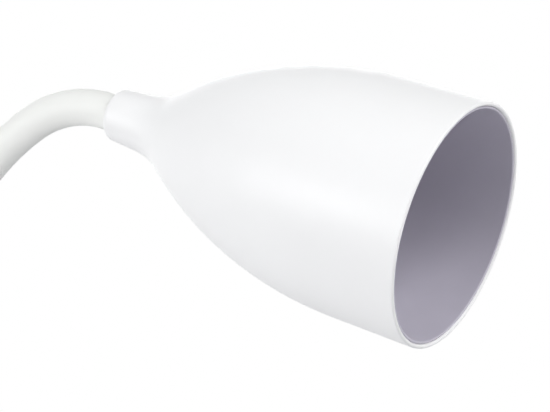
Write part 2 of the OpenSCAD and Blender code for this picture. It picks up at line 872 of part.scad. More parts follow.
module bottom_shell() {
    color("white") difference() {
        union() {
            intersection() {
                hollow_arm();
                below_parting();
            }
            hinge_lugs(upper_lug_y, underside(hinge.x - lug_r) + clip_wall / 2);
        }
        at_hinge(-clip_w) cylinder(h = 2 * clip_w, r = pin_d / 2 + pin_grip);
        at_screws() {
            translate([0, 0, -body_h]) cylinder(h = body_h, r = screw_head_r + screw_slack);
            cylinder(h = body_h, r = screw_r + screw_slack);
        }
        for (x = [-peg_x, peg_x])
            translate([x, 0, 0]) cylinder(h = pad_t + clip_wall + past, r = peg_r + fit);
        seam();
        gland_hole();
    }
}

module pad(peg_h) {
    corner_r = 3;
    groove_w = 1.2;
    groove_depth = 0.8;
    groove_step = 6;
    difference() {
        union() {
            rounded_plate(pad_len, pad_w, corner_r, pad_t);
            for (x = [-peg_x, peg_x]) translate([x, 0, 0]) cylinder(h = pad_t + peg_h, r = peg_r);
        }
        for (x = [groove_step / 2:groove_step:pad_len / 2], side = [-1, 1])
            translate([side * x - groove_w / 2, -pad_w, -past])
            cube([groove_w, 2 * pad_w, groove_depth + past]);
    }
}

module upper_pad() {
    color("dimgray") pad(clip_wall);
}

module lower_pad() {
    color("dimgray") translate([0, 0, -closed_gap]) mirror([0, 0, 1]) pad(clip_wall);
}

module lower_arm() {
    stop_t = 3.4;
    stop_w = 14;
    stop_to_pad = 1.6;
    stop_x = -pad_len / 2 - stop_to_pad - stop_t;
    root = 1;
    rib_xs = [lower_leg_end.x, lower_leg_end.x - rib_step];
    color("white") difference() {
        union() {
            difference() {
                lower_form();
                difference() {
                    lower_core();
                    for (x = rib_xs)
                        translate([x - rib_t / 2, -clip_w, lower_bottom(x)])
                        cube([rib_t, 2 * clip_w, clip_w]);
                }
            }
            hinge_lugs(lower_lug_y, lower_face - root);
            translate([stop_x, -stop_w / 2, lower_face - root])
                cube([stop_t, stop_w, root + pad_t - rest_gap - lower_face]);
            grip_bars([for (x = grip_xs) [x, lower_bottom(x) + grip_sunk]]);
        }
        at_hinge(-clip_w) cylinder(h = 2 * clip_w, r = pin_d / 2 + running_fit);
        for (x = [-peg_x, peg_x])
            translate([x, 0, lower_face - clip_wall - fit]) cylinder(h = pad_t + clip_wall, r = peg_r + fit);
    }
}

module hinge_pin() {
    head_h = 1.4;
    head_rim = 1.2;
    color("silver") {
        at_hinge(-upper_lug_y - head_h) cylinder(h = head_h, r = pin_d / 2 + head_rim);
        at_hinge(-upper_lug_y) cylinder(h = 2 * upper_lug_y + 2 * retainer_t, r = pin_d / 2);
    }
}

module pin_retainer() {
    rim = 1.6;
    color("silver") at_hinge(upper_lug_y) straight_tube(pin_d / 2 + rim, pin_d / 2 + pin_grip, 0, retainer_t);
}

module torsion_spring() {
    color("silver") swept_tube(spring_path, spring_spokes, wire_d / 2, 8);
}

module shell_screws() {
    color("silver") for (s = screws) translate(s) {
        translate([0, 0, -screw_head_h]) cylinder(h = screw_head_h, r = screw_head_r);
        cylinder(h = parting(s.x) - s.z + screw_reach - past, r = screw_r);
    }
}

module switch_body() {
    color("black") translate([button_x, 0, switch_base]) difference() {
        translate([-switch_w / 2, -switch_w / 2, 0]) cube([switch_w, switch_w, switch_h]);
        translate([0, 0, switch_floor]) cylinder(h = switch_h, r = plunger_r + fit);
    }
}

module switch_plunger() {
    from = switch_base + switch_floor + rest_gap + button_travel;
    color("black") translate([button_x, 0, from]) cylinder(h = flange_z - from, r = plunger_r);
}

module push_button() {
    cap_r = button_d / 2;
    top = body_h + button_proud;
    dish = 0.6;
    round_r = 1;
    flange_r = cap_r + 1;
    color("white") translate([button_x, 0, 0]) rotate_extrude() polygon(concat(
        [[0, flange_z], [flange_r, flange_z], [flange_r, flange_z + flange_t], [cap_r, flange_z + flange_t]],
        arc([cap_r - round_r, top - round_r], round_r, 0, 90, 5),
        [for (i = [1:5]) let (x = (cap_r - round_r) * (1 - i / 5)) [x, top - dish * sin(18 * i)]]
    ));
}

module cord_gland() {
    seat = fit;
    flange = 1.4;
    chamfer = 0.5;
    inner_from = clip_wall + 1;
    inner_to = inner_from + flange;
    color("dimgray") translate([tail_x, 0, gland_z]) rotate([0, 90, 0]) rotate_extrude() polygon([
        [inlet_r, -seat - flange], [gland_flange_r - chamfer, -seat - flange],
        [gland_flange_r, chamfer - seat - flange], [gland_flange_r, -seat],
        [gland_r, -seat], [gland_r, inner_from],
        [gland_inner_r, inner_from], [gland_inner_r, inner_to], [inlet_r, inner_to]
    ]);
}

shade();
reflector();
diffuser();
spacer_ring();
led_board();
led_emitter();
board_screws();
heat_sink();
head_ferrule();
head_washer();
head_nut();
sleeve_head();
spine_head();
sleeve_foot();
spine_foot();
foot_ferrule();
foot_washer();
foot_nut();
neck_cable();
top_shell();
bottom_shell();
upper_pad();
lower_arm();
lower_pad();
hinge_pin();
pin_retainer();
torsion_spring();
shell_screws();
switch_body();
switch_plunger();
push_button();
cord_gland();
for (k = [1:link_count]) {
    sleeve_link(k);
    spine_link(k);
}
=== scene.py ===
"""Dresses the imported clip-on lamp: smooth skins for the shade and the gooseneck, finishes and a stage."""
import json
import math

import bpy
import numpy as np
from bpy.props import FloatProperty, FloatVectorProperty, IntProperty, PointerProperty
from mathutils import Matrix, Vector


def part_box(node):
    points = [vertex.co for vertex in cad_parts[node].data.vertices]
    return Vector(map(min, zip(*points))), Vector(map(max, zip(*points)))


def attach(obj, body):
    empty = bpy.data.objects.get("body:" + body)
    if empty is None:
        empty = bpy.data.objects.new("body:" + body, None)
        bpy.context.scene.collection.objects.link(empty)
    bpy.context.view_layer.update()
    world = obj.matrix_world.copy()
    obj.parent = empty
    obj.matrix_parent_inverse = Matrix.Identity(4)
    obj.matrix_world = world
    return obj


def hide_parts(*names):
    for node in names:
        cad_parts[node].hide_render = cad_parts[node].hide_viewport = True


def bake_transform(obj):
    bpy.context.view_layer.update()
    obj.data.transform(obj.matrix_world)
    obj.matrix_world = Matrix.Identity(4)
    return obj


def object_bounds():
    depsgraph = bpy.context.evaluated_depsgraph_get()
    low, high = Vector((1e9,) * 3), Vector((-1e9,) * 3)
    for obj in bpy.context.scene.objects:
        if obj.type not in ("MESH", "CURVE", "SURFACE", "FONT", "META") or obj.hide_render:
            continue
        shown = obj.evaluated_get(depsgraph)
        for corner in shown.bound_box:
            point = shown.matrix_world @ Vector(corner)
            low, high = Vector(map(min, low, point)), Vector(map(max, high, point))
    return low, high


bl_info = {
    "name": "Clip-on lamp",
    "version": (1, 0, 0),
    "blender": (4, 5, 0),
    "location": "View3D > Sidebar > Lamp",
    "description": "Dresses the packed clip-on lamp and sets it on its stage",
    "category": "Object",
}

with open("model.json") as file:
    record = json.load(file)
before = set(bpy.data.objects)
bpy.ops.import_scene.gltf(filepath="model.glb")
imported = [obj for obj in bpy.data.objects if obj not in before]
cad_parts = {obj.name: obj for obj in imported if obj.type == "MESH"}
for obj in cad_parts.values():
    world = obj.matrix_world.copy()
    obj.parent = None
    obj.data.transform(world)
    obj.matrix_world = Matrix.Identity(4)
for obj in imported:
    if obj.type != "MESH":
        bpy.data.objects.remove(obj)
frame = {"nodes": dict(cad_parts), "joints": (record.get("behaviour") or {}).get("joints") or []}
cad_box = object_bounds()

# The gooseneck's joints, from the clip to the head
NECK_JOINTS = [
    "neck_lower", "neck_side", "neck_lower_2", "neck_lower_3", "neck_side_2",
    "neck_upper", "neck_upper_2", "neck_side_3", "neck_upper_3", "neck_upper_4",
]
JOINTS = {j["name"]: j for j in frame["joints"]}

MM = 0.001
QUARTER = math.pi / 2
FULL = 2 * math.pi

# Points of a CAD node that are this close are one, and its edges above this angle are sharp
MERGE = 0.004 * MM
SHARP = math.radians(32)
# Faces of a CAD node that meet within this angle are one flat
FLAT = math.radians(0.5)
ROUNDING_SEGMENTS = 2

# Steps of the arcs, and points on the sides, of the shade's and the lining's outlines
LIP_STEPS = 20
LONG_STEPS = 140
FILLET_STEPS = 40
EDGE_STEPS = 14
NOSE_STEPS = 12
CAVITY_POINTS = 30
SIDE_POINTS = 60
# An arc that goes on from a side starts this far round, so that no two points are one
ARC_START = math.radians(6)

# Points on the level run, the bend and the straight ends of the cable, and on a leg of the spring
RUN_POINTS = 6
BEND_POINTS = 14
RISE_POINTS = 12
LEG_POINTS = 12
# Headings that differ by less than this, in radians, make a straight link
STRAIGHT = 1e-4

# Most of a noise lies between these values
NOISE_RANGE = (0.3, 0.7)
# The colour sockets of a Mix node
MIX_SHARE = 0
MIX_FIRST = 6
MIX_SECOND = 7
MIX_RESULT = 2

# Where each light stands, seen from the middle of the mouth, and its width and height, in metres
LIGHTS = {
    "key": ((0.96, -0.18, 0.696), (0.9, 0.9)),
    "fill": ((-1.04, -1.7, 0.1), (1.7, 0.7)),
    "rear": ((-0.744, 0.9, 0.24), (1.0, 0.6)),
}
WHITE = (1, 1, 1)
# Colour of the light from all around, and how far the dome's edge is soft to each side
SKY = (0.95, 0.975, 1.0)
DOME_EDGE = 0.25
# The floor's innermost ring, and the start and end of its fade to white, as shares of its radius
FLOOR_CORE = 0.02
FADE_START = 0.3
FADE_END = 0.95
FLOOR_RINGS = 12
FLOOR_SEGMENTS = 96


def length(name, description, millimetres):
    """A size that the user can change, in metres."""
    return FloatProperty(name=name, description=description, default=millimetres * MM,
                         unit="LENGTH", precision=4)


def angle(name, description, degrees):
    """An angle that the user can change."""
    return FloatProperty(name=name, description=description, default=math.radians(degrees), unit="ROTATION")


def colour(name, description, red, green, blue):
    """A colour that the user can change."""
    return FloatVectorProperty(name=name, description=description, default=(red, green, blue),
                               subtype="COLOR", size=3, min=0, max=1)


def number(name, description, value):
    """A plain value that the user can change."""
    return FloatProperty(name=name, description=description, default=value, min=0)


def count(name, description, value, least):
    """A whole number that the user can change."""
    return IntProperty(name=name, description=description, default=value, min=least)


class ShadeSizes(bpy.types.PropertyGroup):
    """Sizes of the bullet-shaped shade and its lining."""

    mouth_d: length("Mouth", "Outside diameter at the mouth", 70)
    wall: length("Wall", "Wall of the shade", 1.25)
    straight_len: length("Straight part", "Length of the nearly straight part behind the mouth", 26)
    draft: length("Draft", "Radius that the straight part loses", 0.4)
    ogive_r: length("Long curve", "Radius of the curve that gives the bullet its shape", 118)
    collar_root_d: length("Collar root", "Diameter of the collar where it leaves the curve", 18)
    collar_end_d: length("Collar end", "Diameter of the collar at its open end", 15.6)
    collar_len: length("Collar length", "Length of the collar", 16.6)
    collar_fillet: length("Collar fillet", "Fillet between the curve and the collar", 22)
    collar_round: length("Collar rounding", "Rounding of the collar's open end", 2)
    stub_len: length("Stub", "Length of sleeve between the last joint and the collar", 3)
    tilt: angle("Tilt", "How far the shade points below level", 16.6)
    ledge_at: length("Ledge", "Depth of the ledge that carries the heat sink", 65.55)
    ledge_w: length("Ledge width", "Width of that ledge", 1.5)
    cavity_end_d: length("Cavity end", "Diameter of the cavity at the bulkhead", 16.112)
    bulkhead_t: length("Bulkhead", "Thickness of the bulkhead", 3.5)
    bore_d: length("Bore", "Bore of the bulkhead", 10.1)
    socket_d: length("Socket", "Bore of the collar", 11.5)
    lip_depth: length("Lip depth", "Depth of the lining's lip behind the mouth", 50)
    lip_w: length("Lip", "Width of the lining's lip", 3)
    lip_bend: length("Lip bend", "Radius of the bend from the lining's side to its lip", 2)
    lining_wall: length("Lining", "Thickness of the lining", 0.8)
    lining_front: length("Lining front", "Depth of the lining's front edge behind the mouth", 0.4)
    fit: length("Fit", "Gap between the lining and the shade", 0.04)


class NeckSizes(bpy.types.PropertyGroup):
    """Sizes of the gooseneck's sleeve and of the cable in it."""

    sleeve_d: length("Sleeve", "Outside diameter of the sleeve", 11)
    sleeve_wall: length("Sleeve wall", "Wall of the sleeve", 0.8)
    rings: count("Rings", "Rings in half a link of the sleeve", 18, 4)
    segments: count("Segments", "Segments round the sleeve", 96, 16)
    cable_d: length("Cable", "Diameter of the cable", 2.8)
    cable_bend: length("Cable bend", "Bend of the cable under the gooseneck", 5)
    cable_rings: count("Cable rings", "Rings in half a link of the cable", 8, 4)
    cable_segments: count("Cable segments", "Segments round the cable", 24, 8)


class SpringSizes(bpy.types.PropertyGroup):
    """Sizes of the torsion spring in the clip."""

    wire_d: length("Wire", "Diameter of the wire", 1.6)
    coil_r: length("Coil", "Radius at the middle of the wire", 4.2)
    pitch: length("Pitch", "Distance between neighbouring turns", 2.15)
    leg_len: length("Leg", "Length of each leg", 24)
    leg_rise: angle("Leg rise", "Slope of each leg from level", 18.7)
    turns: count("Turns", "Whole turns of the coil", 4, 1)
    steps: count("Steps", "Points on a turn of the coil", 48, 12)
    segments: count("Segments", "Segments round the wire", 20, 8)


class EdgeSizes(bpy.types.PropertyGroup):
    """Rounding of the clip's edges."""

    moulding: length("Mouldings", "Rounding of the mouldings' edges", 0.25)
    pad: length("Pads", "Rounding of the rubber's edges", 0.3)
    pin: length("Pin", "Rounding of the hinge pin's ends", 0.4)
    retainer: length("Retainer", "Rounding of the retainer's edges", 0.2)


class LampColours(bpy.types.PropertyGroup):
    """Colours of the lamp's finishes."""

    shade: colour("Shade", "Satin white of the shade", 0.912, 0.911, 0.913)
    lining: colour("Lining", "Grey of the lining", 0.52, 0.498, 0.575)
    sleeve: colour("Sleeve", "Off-white of the gooseneck's sleeve", 0.89, 0.895, 0.87)
    moulding: colour("Moulding", "White of the clip's mouldings", 0.90, 0.90, 0.905)
    pad: colour("Pads", "Grey of the rubber pads", 0.065, 0.065, 0.07)
    steel: colour("Steel", "Zinc plated steel", 0.62, 0.63, 0.65)
    spine: colour("Spine", "Phosphated steel of the spine", 0.20, 0.20, 0.21)
    brass: colour("Brass", "Turned brass", 0.70, 0.52, 0.24)
    aluminium: colour("Aluminium", "Cast aluminium", 0.66, 0.67, 0.69)
    opal: colour("Opal", "Opal of the diffuser", 0.90, 0.895, 0.87)
    board: colour("Board", "White of the light board", 0.86, 0.87, 0.85)
    emitter: colour("Emitter", "Yellow of the emitter", 0.83, 0.56, 0.07)
    cable: colour("Cable", "Grey of the cable's jacket", 0.10, 0.10, 0.11)
    switch: colour("Switch", "Black of the switch", 0.012, 0.012, 0.013)


class StageSettings(bpy.types.PropertyGroup):
    """The camera, the light and the floor."""

    azimuth: angle("Azimuth", "How far the camera stands round the lamp", 28.6)
    distance: length("Distance", "Distance of the camera from the mouth", 600)
    aside: length("Aside", "How far the view's middle lies left of the mouth", 49.4)
    above: length("Above", "How far the view's middle lies above the mouth", 5.55)
    focal: number("Lens", "Focal length in millimetres", 145.04)
    sensor: number("Sensor", "Width of the sensor in millimetres", 36)
    ambient: number("Ambient", "Strength of the light from all around", 0.05)
    dome: number("Dome", "Strength of the light from the half of the room behind the shade", 0.38)
    key: number("Key", "Power of the light in front of the mouth and above it, in watts", 12.8)
    fill: number("Fill", "Power of the light from the camera's left, in watts", 22.4)
    rear: number("Rear", "Power of the light from behind the lamp, in watts", 4.4)
    floor_r: length("Floor", "Radius of the floor", 1500)
    floor_colour: colour("Floor colour", "Pale floor", 0.72, 0.72, 0.73)


class LampSettings(bpy.types.PropertyGroup):
    """All that can be set on the lamp."""

    shade: PointerProperty(type=ShadeSizes)
    neck: PointerProperty(type=NeckSizes)
    spring: PointerProperty(type=SpringSizes)
    edges: PointerProperty(type=EdgeSizes)
    colours: PointerProperty(type=LampColours)
    stage: PointerProperty(type=StageSettings)


class Wire:
    """A shader socket in Python sums, each of which adds a Math node."""

    def __init__(self, finish, socket):
        self.finish = finish
        self.socket = socket

    def _math(self, operation, first, second):
        return self.finish.add("ShaderNodeMath", {"operation": operation}, {0: first, 1: second})

    def __add__(self, other):
        return self._math("ADD", self, other)

    def __radd__(self, other):
        return self._math("ADD", other, self)

    def __mul__(self, other):
        return self._math("MULTIPLY", self, other)

    def __rmul__(self, other):
        return self._math("MULTIPLY", other, self)


class Finish:
    """One procedural material, whose nodes are added one by one."""

    def __init__(self, name, tree=None):
        self.material = None
        if tree is None:
            self.material = bpy.data.materials.new(name)
            self.material.use_nodes = True
            tree = self.material.node_tree
        self.tree = tree
        self.tree.nodes.clear()

    def add(self, kind, settings=None, inputs=None, output=0):
        """Adds a node with its settings, then the values or links of its sockets, and gives one output."""
        node = self.tree.nodes.new(kind)
        for key, value in (settings or {}).items():
            setattr(node, key, value)
        for key, value in (inputs or {}).items():
            socket = node.inputs[key]
            if isinstance(value, Wire):
                self.tree.links.new(value.socket, socket)
            elif socket.type == "RGBA":
                socket.default_value = (*value, 1)
            else:
                socket.default_value = value
        return Wire(self, node.outputs[output]) if node.outputs else None

    def place(self):
        """The place on the piece, in metres."""
        return self.add("ShaderNodeTexCoord", output="Object")

    def noise(self, size, detail):
        """Even noise from 0 to 1 with features of that size in metres."""
        return self.add("ShaderNodeTexNoise", None,
                        {"Vector": self.place(), "Scale": 1 / size, "Detail": detail, "Roughness": 0.5})

    def mixed(self, share, first, second):
        """A colour between two others."""
        return self.add("ShaderNodeMix", {"data_type": "RGBA"},
                        {MIX_SHARE: share, MIX_FIRST: first, MIX_SECOND: second}, MIX_RESULT)

    def varied(self, share, base, darkest, lightest):
        """A colour that goes from one factor of its lightness to another."""
        return self.mixed(share, tinted(base, darkest), tinted(base, lightest))

    def spread(self, value, low, high, to_low, to_high):
        """Takes a value from one range to another, and holds it there."""
        return self.add("ShaderNodeMapRange", {"clamp": True}, {
            "Value": value, "From Min": low, "From Max": high, "To Min": to_low, "To Max": to_high})

    def uneven(self, noise, low, high):
        """A value from low to high, over the range that holds most of a noise."""
        return self.spread(noise, *NOISE_RANGE, low, high)

    def bump(self, height, depth, strength):
        """A normal from a height of 0 to 1 that stands for that depth in metres."""
        return self.add("ShaderNodeBump", None, {"Height": height, "Distance": depth, "Strength": strength})

    def surface(self, inputs):
        """Ends the material in one Principled shader."""
        return self.output(self.add("ShaderNodeBsdfPrincipled", None, inputs))

    def output(self, shader):
        """Links a shader to the material's output."""
        self.add("ShaderNodeOutputMaterial", None, {"Surface": shader})
        return self.material


def tinted(base, factor):
    """A colour made lighter or darker."""
    return tuple(min(1.0, c * factor) for c in base)


def satin_plastic(name, base, grain, depth, rough):
    """Moulded plastic: a fine skin from the mould, faint flow clouds and uneven gloss."""
    f = Finish(name)
    clouds = f.noise(18 * MM, detail=3)
    skin = f.noise(grain, detail=2)
    gloss = f.noise(6 * MM, detail=2)
    return f.surface({
        "Base Color": f.varied(clouds, base, darkest=0.985, lightest=1.01),
        "Roughness": f.uneven(gloss, rough - 0.04, rough + 0.05),
        "Normal": f.bump(skin, depth, strength=0.35),
        "Specular IOR Level": 0.42,
    })


def painted_lining(name, base):
    """Grey lacquer with faint clouds and a soft orange peel."""
    f = Finish(name)
    clouds = f.noise(12 * MM, detail=2)
    peel = f.noise(1.1 * MM, detail=1)
    return f.surface({
        "Base Color": f.varied(clouds, base, darkest=0.96, lightest=1.04),
        "Roughness": f.uneven(clouds, 0.42, 0.5),
        "Normal": f.bump(peel, 0.02 * MM, strength=0.25),
        "Specular IOR Level": 0.5,
    })


def silicone(name, base):
    """Smooth soft sleeve with a faint bloom."""
    f = Finish(name)
    bloom = f.noise(9 * MM, detail=3)
    skin = f.noise(0.7 * MM, detail=2)
    return f.surface({
        "Base Color": f.varied(bloom, base, darkest=0.975, lightest=1.012),
        "Roughness": f.uneven(bloom, 0.5, 0.6),
        "Normal": f.bump(skin, 0.02 * MM, strength=0.2),
        "Specular IOR Level": 0.35,
    })


def rubber(name, base):
    """Matt rubber with a dusty, slightly rough skin."""
    f = Finish(name)
    dust = f.noise(3 * MM, detail=4)
    skin = f.noise(0.5 * MM, detail=2)
    return f.surface({
        "Base Color": f.varied(f.spread(dust, 0.35, 0.75, 0, 1), base, darkest=0.85, lightest=1.35),
        "Roughness": f.uneven(dust, 0.72, 0.86),
        "Normal": f.bump(skin, 0.06 * MM, strength=0.4),
        "Specular IOR Level": 0.3,
    })


def metal(name, base, rough, grain, depth):
    """Metal with fine marks of its making and faint stains."""
    f = Finish(name)
    marks = f.noise(grain, detail=3)
    stain = f.noise(4 * MM, detail=3)
    return f.surface({
        "Base Color": f.varied(stain, base, darkest=0.88, lightest=1.08),
        "Metallic": 1.0,
        "Roughness": f.spread(marks, 0.25, 0.75, rough - 0.08, rough + 0.1),
        "Normal": f.bump(marks, depth, strength=0.4),
    })


def speckled(name, base, grain, rough, spot):
    """A pale or coloured surface with fine darker specks, for the board and the emitter."""
    f = Finish(name)
    specks = f.noise(grain, detail=2)
    return f.surface({
        "Base Color": f.mixed(f.spread(specks, 0.45, 0.7, 0, 1), base, tinted(base, spot)),
        "Roughness": f.uneven(specks, rough - 0.06, rough + 0.06),
        "Normal": f.bump(specks, 0.03 * MM, strength=0.3),
    })


def arc(centre, radius, start, end, steps):
    """Points on a circle between two angles in radians."""
    return [(centre[0] + radius * math.cos(a), centre[1] + radius * math.sin(a))
            for a in np.linspace(start, end, steps + 1)]


class BulletCurve:
    """The shade's long curve, as radius and depth behind the mouth."""

    def __init__(self, sizes):
        self.sizes = sizes
        self.slope = math.atan(sizes.draft / sizes.straight_len)
        self.centre = Vector((
            sizes.mouth_d / 2 - sizes.draft - sizes.ogive_r * math.cos(self.slope),
            sizes.straight_len - sizes.ogive_r * math.sin(self.slope),
        ))
        self.collar_start = self.depth(sizes.collar_root_d / 2, 0)
        self.head_len = self.collar_start + sizes.collar_len

    def place(self):
        """The head's own frame: its origin in the middle of the mouth and its Z back along the axis."""
        s = self.sizes
        last = Vector(JOINTS[NECK_JOINTS[-1]]["pos_m"])
        axis = Vector((math.cos(s.tilt), 0, -math.sin(s.tilt)))
        mouth = last + (self.head_len + s.stub_len) * axis
        return Matrix.Translation(mouth) @ Matrix.Rotation(s.tilt - QUARTER, 4, "Y")

    def depth(self, radius, inset):
        """Depth at which the curve, set in by that much, has this radius."""
        across = radius - self.centre.x
        return self.centre.y + math.sqrt((self.sizes.ogive_r - inset) ** 2 - across ** 2)

    def radius(self, depth, inset):
        """Radius of the curve, set in by that much, at this depth."""
        along = depth - self.centre.y
        return self.centre.x + math.sqrt((self.sizes.ogive_r - inset) ** 2 - along ** 2)

    def wall(self, depth):
        """Inside radius of the shade's wall."""
        s = self.sizes
        if depth > s.straight_len:
            return self.radius(depth, s.wall)
        return s.mouth_d / 2 - s.wall - s.draft * depth / s.straight_len

    def fillet(self):
        """Centre of the fillet from the long curve to the collar, and the angles at which it meets them."""
        s = self.sizes
        along = Vector((s.collar_end_d / 2 - s.collar_root_d / 2, s.collar_len)).normalized()
        out = Vector((along.y, -along.x))
        start = Vector((s.collar_root_d / 2, self.collar_start)) + s.collar_fillet * out - self.centre
        reach = s.ogive_r + s.collar_fillet
        slide = -start.dot(along) + math.sqrt(start.dot(along) ** 2 - start.length_squared + reach ** 2)
        centre = self.centre + start + slide * along
        curve_angle = math.atan2(centre.y - self.centre.y, centre.x - self.centre.x)
        return centre, curve_angle, math.atan2(out.y, out.x)

    def shade_outline(self):
        """The closed outline of the shade: lip, long curve, fillet, collar, socket and cavity."""
        s = self.sizes
        lip = s.wall / 2
        fillet, curve_angle, collar_angle = self.fillet()
        back = self.head_len
        collar_edge = (s.collar_end_d / 2 - s.collar_round, back - s.collar_round)
        bulkhead = self.depth(s.cavity_end_d / 2, s.wall)
        ledge_r = self.radius(s.ledge_at, s.wall) - s.ledge_w
        inner_end = self.depth(ledge_r, s.wall)
        socket_r = s.socket_d / 2
        bore_r = s.bore_d / 2
        return (
            arc((s.mouth_d / 2 - lip, lip), lip, math.pi, FULL, LIP_STEPS)
            + arc(self.centre, s.ogive_r, self.slope, curve_angle, LONG_STEPS)
            + arc(fillet, s.collar_fillet, curve_angle + math.pi, collar_angle + math.pi, FILLET_STEPS)
            + arc(collar_edge, s.collar_round, 0, QUARTER, EDGE_STEPS)
            + [(socket_r, back), (socket_r, bulkhead + s.bulkhead_t)]
            + [(bore_r, bulkhead + s.bulkhead_t), (bore_r, bulkhead)]
            + [(self.radius(d, s.wall), d) for d in np.linspace(bulkhead, inner_end, CAVITY_POINTS)]
            + [(ledge_r, s.ledge_at)]
            + [(self.radius(d, s.wall), d) for d in np.linspace(s.ledge_at, s.straight_len, SIDE_POINTS)]
        )

    def lining_outline(self):
        """The closed outline of the lining: side, bend, lip and rounded front edge."""
        s = self.sizes
        nose_r = s.lining_wall / 2
        side_start = s.lining_front + nose_r
        side_end = s.lip_depth - s.lip_bend
        depths = np.linspace(side_start, side_end, SIDE_POINTS)
        skin = s.fit + s.lining_wall
        nose = (self.wall(side_start) - s.fit - nose_r, side_start)
        bend = (self.wall(side_end) - skin - s.lip_bend, side_end)
        lip_r = self.wall(s.lip_depth) - skin - s.lip_w
        return (
            [(self.wall(d) - skin, d) for d in depths]
            + arc(bend, s.lip_bend, ARC_START, QUARTER, EDGE_STEPS)
            + [(lip_r, s.lip_depth), (lip_r, s.lip_depth + s.lining_wall)]
            + arc(bend, s.lip_bend + s.lining_wall, QUARTER, ARC_START, EDGE_STEPS)
            + [(self.wall(d) - s.fit, d) for d in depths[::-1]]
            + arc(nose, nose_r, -ARC_START, ARC_START - math.pi, NOSE_STEPS)
        )


def finished(name, points, faces, finish, sharp=30):
    """A new piece from points and faces, smooth up to an angle in degrees."""
    mesh = bpy.data.meshes.new(name)
    mesh.from_pydata(np.asarray(points).tolist(), [], faces)
    mesh.polygons.foreach_set("use_smooth", [True] * len(mesh.polygons))
    mesh.set_sharp_from_angle(angle=math.radians(sharp))
    mesh.materials.append(finish)
    mesh.update()
    piece = bpy.data.objects.new(name, mesh)
    bpy.context.scene.collection.objects.link(piece)
    return piece


def ring_faces(rings, size, closed):
    """Quads between rings of points that follow each other, with the last joined to the first if closed."""
    faces = []
    for i in range(rings if closed else rings - 1):
        a, b = i * size, (i + 1) % rings * size
        faces += [(a + j, a + (j + 1) % size, b + (j + 1) % size, b + j) for j in range(size)]
    return faces


def revolved(name, outline, place, finish, segments=240):
    """A closed outline of radius and depth, turned about the head's axis."""
    turn = np.linspace(0, FULL, segments, endpoint=False)
    radius, depth = (np.repeat(column, segments) for column in np.array(outline).T)
    around = np.tile(turn, len(outline))
    local = np.stack([radius * np.cos(around), radius * np.sin(around), depth], 1)
    matrix = np.array(place)
    points = local @ matrix[:3, :3].T + matrix[:3, 3]
    faces = ring_faces(len(outline), segments, True)
    area = sum(p[0] * q[1] - q[0] * p[1] for p, q in zip(outline, outline[1:] + outline[:1]))
    if area < 0:
        faces = [f[::-1] for f in faces]
    return finished(name, points, faces, finish)


def spokes(across, second, segments):
    """Unit vectors round a path, from the two directions across it at each point."""
    turn = np.linspace(0, FULL, segments, endpoint=False)[None, :, None]
    return np.cos(turn) * across[:, None, :] + np.sin(turn) * second[:, None, :]


def tube(name, centres, across, second, outer, inner, segments, finish):
    """A tube along a path, with two directions across it at each point, hollow where inner isn't 0."""
    around = spokes(across, second, segments)
    rings = len(centres)
    skins = [(centres[:, None, :] + outer * around).reshape(-1, 3)]
    faces = ring_faces(rings, segments, False)
    last = (rings - 1) * segments
    if inner > 0:
        skins.append((centres[:, None, :] + inner * around).reshape(-1, 3))
        step = rings * segments
        faces += [tuple(i + step for i in f[::-1]) for f in ring_faces(rings, segments, False)]
        for j in range(segments):
            k = (j + 1) % segments
            faces.append((k, j, step + j, step + k))
            faces.append((last + j, last + k, step + last + k, step + last + j))
    else:
        faces.append(tuple(range(segments))[::-1])
        faces.append(tuple(last + j for j in range(segments)))
    return finished(name, np.concatenate(skins), faces, finish, sharp=60)


def radial_normals(piece, across, second, segments, hollow):
    """Gives a tube the normals of an endless one, so that the seam to its neighbour doesn't show."""
    outward = spokes(across, second, segments).reshape(-1, 3)
    mesh = piece.data
    corners = 4 * (len(across) - 1) * segments
    vertex = np.zeros(len(mesh.loops), int)
    mesh.loops.foreach_get("vertex_index", vertex)
    normals = np.zeros((len(mesh.loops), 3))
    normals[:corners] = outward[vertex[:corners]]
    if hollow:
        inside = slice(corners, 2 * corners)
        normals[inside] = -outward[vertex[inside] - len(outward)]
    for end in mesh.polygons[-2 * segments if hollow else -2:]:
        normals[list(end.loop_indices)] = end.normal[:]
    mesh.normals_split_custom_set(normals.tolist())


def heading_way(heading):
    """The direction of a heading from straight up, in the gooseneck's plane."""
    return Vector((math.sin(heading), 0, math.cos(heading)))


def straight(start, end, heading, points):
    """Centres on a straight line with one heading."""
    return [(start.lerp(end, t), heading) for t in np.linspace(0, 1, points).tolist()]


